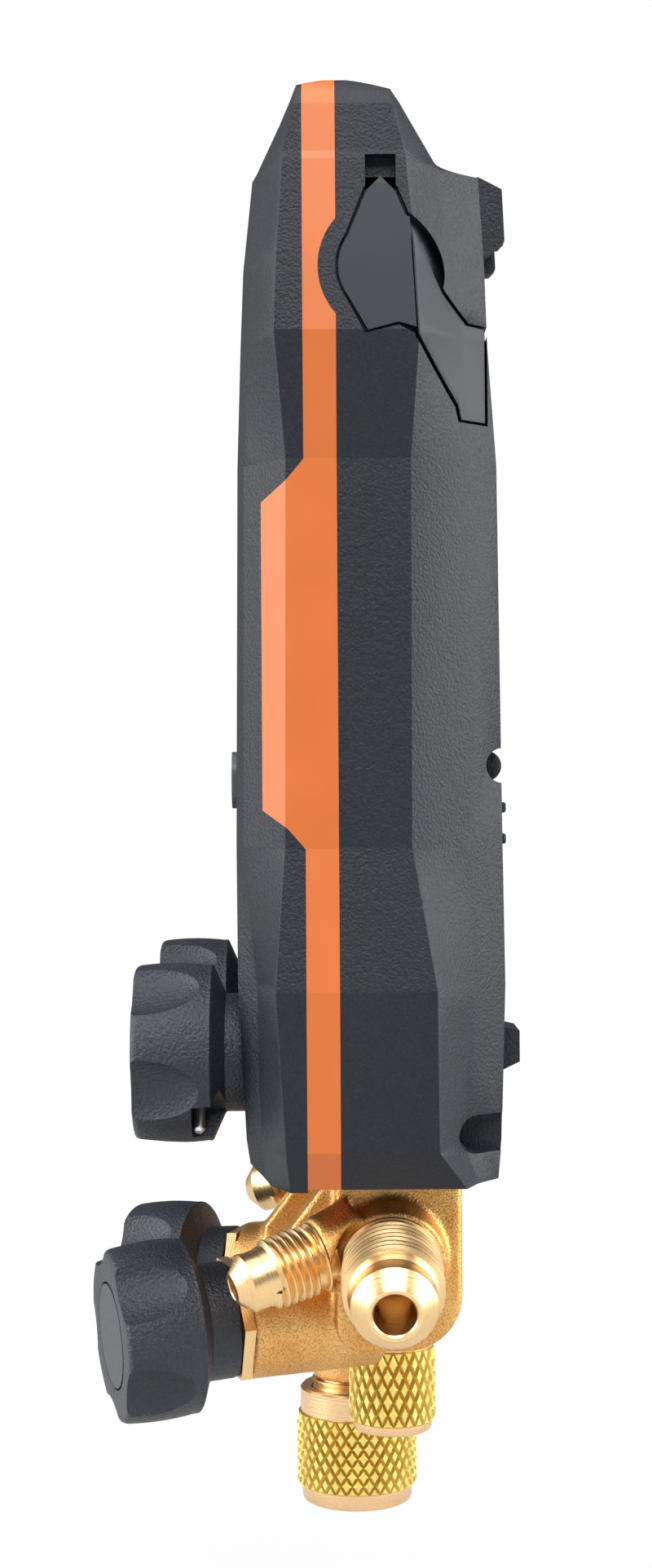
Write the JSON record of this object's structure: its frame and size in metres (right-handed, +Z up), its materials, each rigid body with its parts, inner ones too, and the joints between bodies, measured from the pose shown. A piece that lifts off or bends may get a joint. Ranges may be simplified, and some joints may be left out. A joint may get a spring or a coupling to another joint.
{
  "type": "refrigerant manifold gauge",
  "caption": "Hand-held electronic gauge on a cast brass valve block, with star knobs on its front, flare ports below and a fold-out hanging hook.",
  "frame": {"origin": "middle of the bounding box", "axes": "+Z up along the casing, -Y the display side, +X the right-hand side seen from the display side turned about, where the high-side valve is"},
  "size_m": [0.124, 0.0694, 0.2352],
  "materials": {
    "case_plastic": "moulded, fine grain",
    "case_plastic_smooth": "moulded, satin",
    "grip_orange": "soft satin",
    "seal_rubber": "smooth",
    "cover_rubber": "smooth matt",
    "socket_plastic": "smooth",
    "window_glass": "clear",
    "display_face": "dark screen",
    "board_green": "solder mask",
    "mat_rubber": "smooth",
    "key_plastic": "satin",
    "cell_jacket": "printed foil, bare",
    "contact_steel": "spring plate",
    "pin_steel": "ground",
    "spindle_steel": "turned",
    "turned_brass": "machined bright",
    "cast_brass": "cast, fine grain",
    "cap_brass": "knurled",
    "knob_plastic": "fine grain",
    "disc_plastic": "satin",
    "sight_lens": "clear"
  },
  "bodies": {
    "casing": {"front_cover": "case_plastic", "grip_frame": "grip_orange", "rear_cover": "case_plastic", "case_seal": "seal_rubber", "socket_strap_right": "cover_rubber", "socket_strap_left": "cover_rubber", "probe_socket_right": "socket_plastic", "probe_socket_left": "socket_plastic", "display_window": "window_glass", "display_panel": "display_face", "main_board": "board_green", "key_mat": "mat_rubber", "battery_cells": "cell_jacket", "battery_contacts": "contact_steel", "hook_pin": "pin_steel", "case_screws": "pin_steel", "block_screws": "pin_steel", "side_port_right": "turned_brass", "side_port_left": "turned_brass", "hose_park_right": "turned_brass", "hose_park_left": "turned_brass", "refrigerant_port": "turned_brass", "vacuum_port": "turned_brass", "manifold_block": "cast_brass", "low_bonnet": "turned_brass", "high_bonnet": "turned_brass", "refrigerant_bonnet": "turned_brass", "vacuum_bonnet": "turned_brass", "sight_glass": "sight_lens", "sight_glass_ring": "turned_brass", "pressure_sensors": "pin_steel"},
    "low_valve_knob": {"low_knob": "knob_plastic", "low_spindle": "spindle_steel", "low_cross_pin": "pin_steel"},
    "low_valve_piston": {"low_piston": "turned_brass"},
    "high_valve_knob": {"high_knob": "knob_plastic", "high_spindle": "spindle_steel", "high_cross_pin": "pin_steel"},
    "high_valve_piston": {"high_piston": "turned_brass"},
    "refrigerant_valve_knob": {"refrigerant_knob": "knob_plastic", "refrigerant_spindle": "spindle_steel", "refrigerant_knob_disc": "disc_plastic"},
    "refrigerant_valve_piston": {"refrigerant_piston": "turned_brass"},
    "vacuum_valve_knob": {"vacuum_knob": "knob_plastic", "vacuum_spindle": "spindle_steel", "vacuum_knob_disc": "disc_plastic"},
    "vacuum_valve_piston": {"vacuum_piston": "turned_brass"},
    "hook": {"hanging_hook": "case_plastic_smooth"},
    "flap_right": {"socket_cover_right": "cover_rubber"},
    "flap_left": {"socket_cover_left": "cover_rubber"},
    "key_1_button": {"key_1": "key_plastic"},
    "key_2_button": {"key_2": "key_plastic"},
    "key_3_button": {"key_3": "key_plastic"},
    "key_4_button": {"key_4": "key_plastic"},
    "battery_lid": {"battery_cover": "case_plastic_smooth"},
    "refrigerant_cap": {"refrigerant_cap": "cap_brass", "refrigerant_cap_seal": "seal_rubber"},
    "vacuum_cap": {"vacuum_cap": "cap_brass", "vacuum_cap_seal": "seal_rubber"}
  },
  "joints": [
    {"name": "low_knob_turn", "type": "hinge", "parent": "casing", "child": "low_valve_knob", "pos_m": [-0.032, -0.0045, -0.0345], "axis": [0, -1, 0], "range_deg": [0, 1080]},
    {"name": "low_piston_lift", "type": "slide", "parent": "casing", "child": "low_valve_piston", "axis": [0, -1, 0], "range_m": [0, 0.003]},
    {"name": "high_knob_turn", "type": "hinge", "parent": "casing", "child": "high_valve_knob", "pos_m": [0.032, -0.0045, -0.0345], "axis": [0, -1, 0], "range_deg": [0, 1080]},
    {"name": "high_piston_lift", "type": "slide", "parent": "casing", "child": "high_valve_piston", "axis": [0, -1, 0], "range_m": [0, 0.003]},
    {"name": "refrigerant_knob_turn", "type": "hinge", "parent": "casing", "child": "refrigerant_valve_knob", "pos_m": [0.0256, -0.0115, -0.0783], "axis": [0.2916, -0.9537, -0.0732], "range_deg": [0, 1080]},
    {"name": "refrigerant_piston_lift", "type": "slide", "parent": "casing", "child": "refrigerant_valve_piston", "axis": [0.2916, -0.9537, -0.0732], "range_m": [0, 0.003]},
    {"name": "vacuum_knob_turn", "type": "hinge", "parent": "casing", "child": "vacuum_valve_knob", "pos_m": [-0.0256, -0.0115, -0.082], "axis": [-0.2916, -0.9537, -0.0732], "range_deg": [0, 1080]},
    {"name": "vacuum_piston_lift", "type": "slide", "parent": "casing", "child": "vacuum_valve_piston", "axis": [-0.2916, -0.9537, -0.0732], "range_m": [0, 0.003]},
    {"name": "hook_fold", "type": "hinge", "parent": "casing", "child": "hook", "pos_m": [0, 0.0302, 0.103], "axis": [1, 0, 0], "range_deg": [0, 180]},
    {"name": "socket_cover_right_fold", "type": "hinge", "parent": "casing", "child": "flap_right", "pos_m": [0.05944, 0.01675, 0.0835], "axis": [-0.0747, -0.0553, 0.9957], "range_deg": [0, 100]},
    {"name": "socket_cover_left_fold", "type": "hinge", "parent": "casing", "child": "flap_left", "pos_m": [-0.05944, 0.01675, 0.0835], "axis": [-0.0747, 0.0553, -0.9957], "range_deg": [0, 100]},
    {"name": "key_1_press", "type": "slide", "parent": "casing", "child": "key_1_button", "axis": [0, 1, 0], "range_m": [0, 0.0007], "stiffness_N_per_m": 400},
    {"name": "key_2_press", "type": "slide", "parent": "casing", "child": "key_2_button", "axis": [0, 1, 0], "range_m": [0, 0.0007], "stiffness_N_per_m": 400},
    {"name": "key_3_press", "type": "slide", "parent": "casing", "child": "key_3_button", "axis": [0, 1, 0], "range_m": [0, 0.0007], "stiffness_N_per_m": 400},
    {"name": "key_4_press", "type": "slide", "parent": "casing", "child": "key_4_button", "axis": [0, 1, 0], "range_m": [0, 0.0007], "stiffness_N_per_m": 400},
    {"name": "battery_cover_open", "type": "hinge", "parent": "casing", "child": "battery_lid", "pos_m": [0, 0.02898, 0.06905], "axis": [1, 0, 0], "range_deg": [0, 90]},
    {"name": "refrigerant_cap_unscrew", "type": "slide", "parent": "casing", "child": "refrigerant_cap", "axis": [0, 0, -1], "range_m": [0, 0.02]},
    {"name": "vacuum_cap_unscrew", "type": "slide", "parent": "casing", "child": "vacuum_cap", "axis": [0, 0, -1], "range_m": [0, 0.026]}
  ],
  "couplings": [
    {"joint": "low_piston_lift", "follows": "low_knob_turn", "m_per_rad": 0.0001591},
    {"joint": "high_piston_lift", "follows": "high_knob_turn", "m_per_rad": 0.0001591},
    {"joint": "refrigerant_piston_lift", "follows": "refrigerant_knob_turn", "m_per_rad": 0.0001591},
    {"joint": "vacuum_piston_lift", "follows": "vacuum_knob_turn", "m_per_rad": 0.0001591}
  ]
}
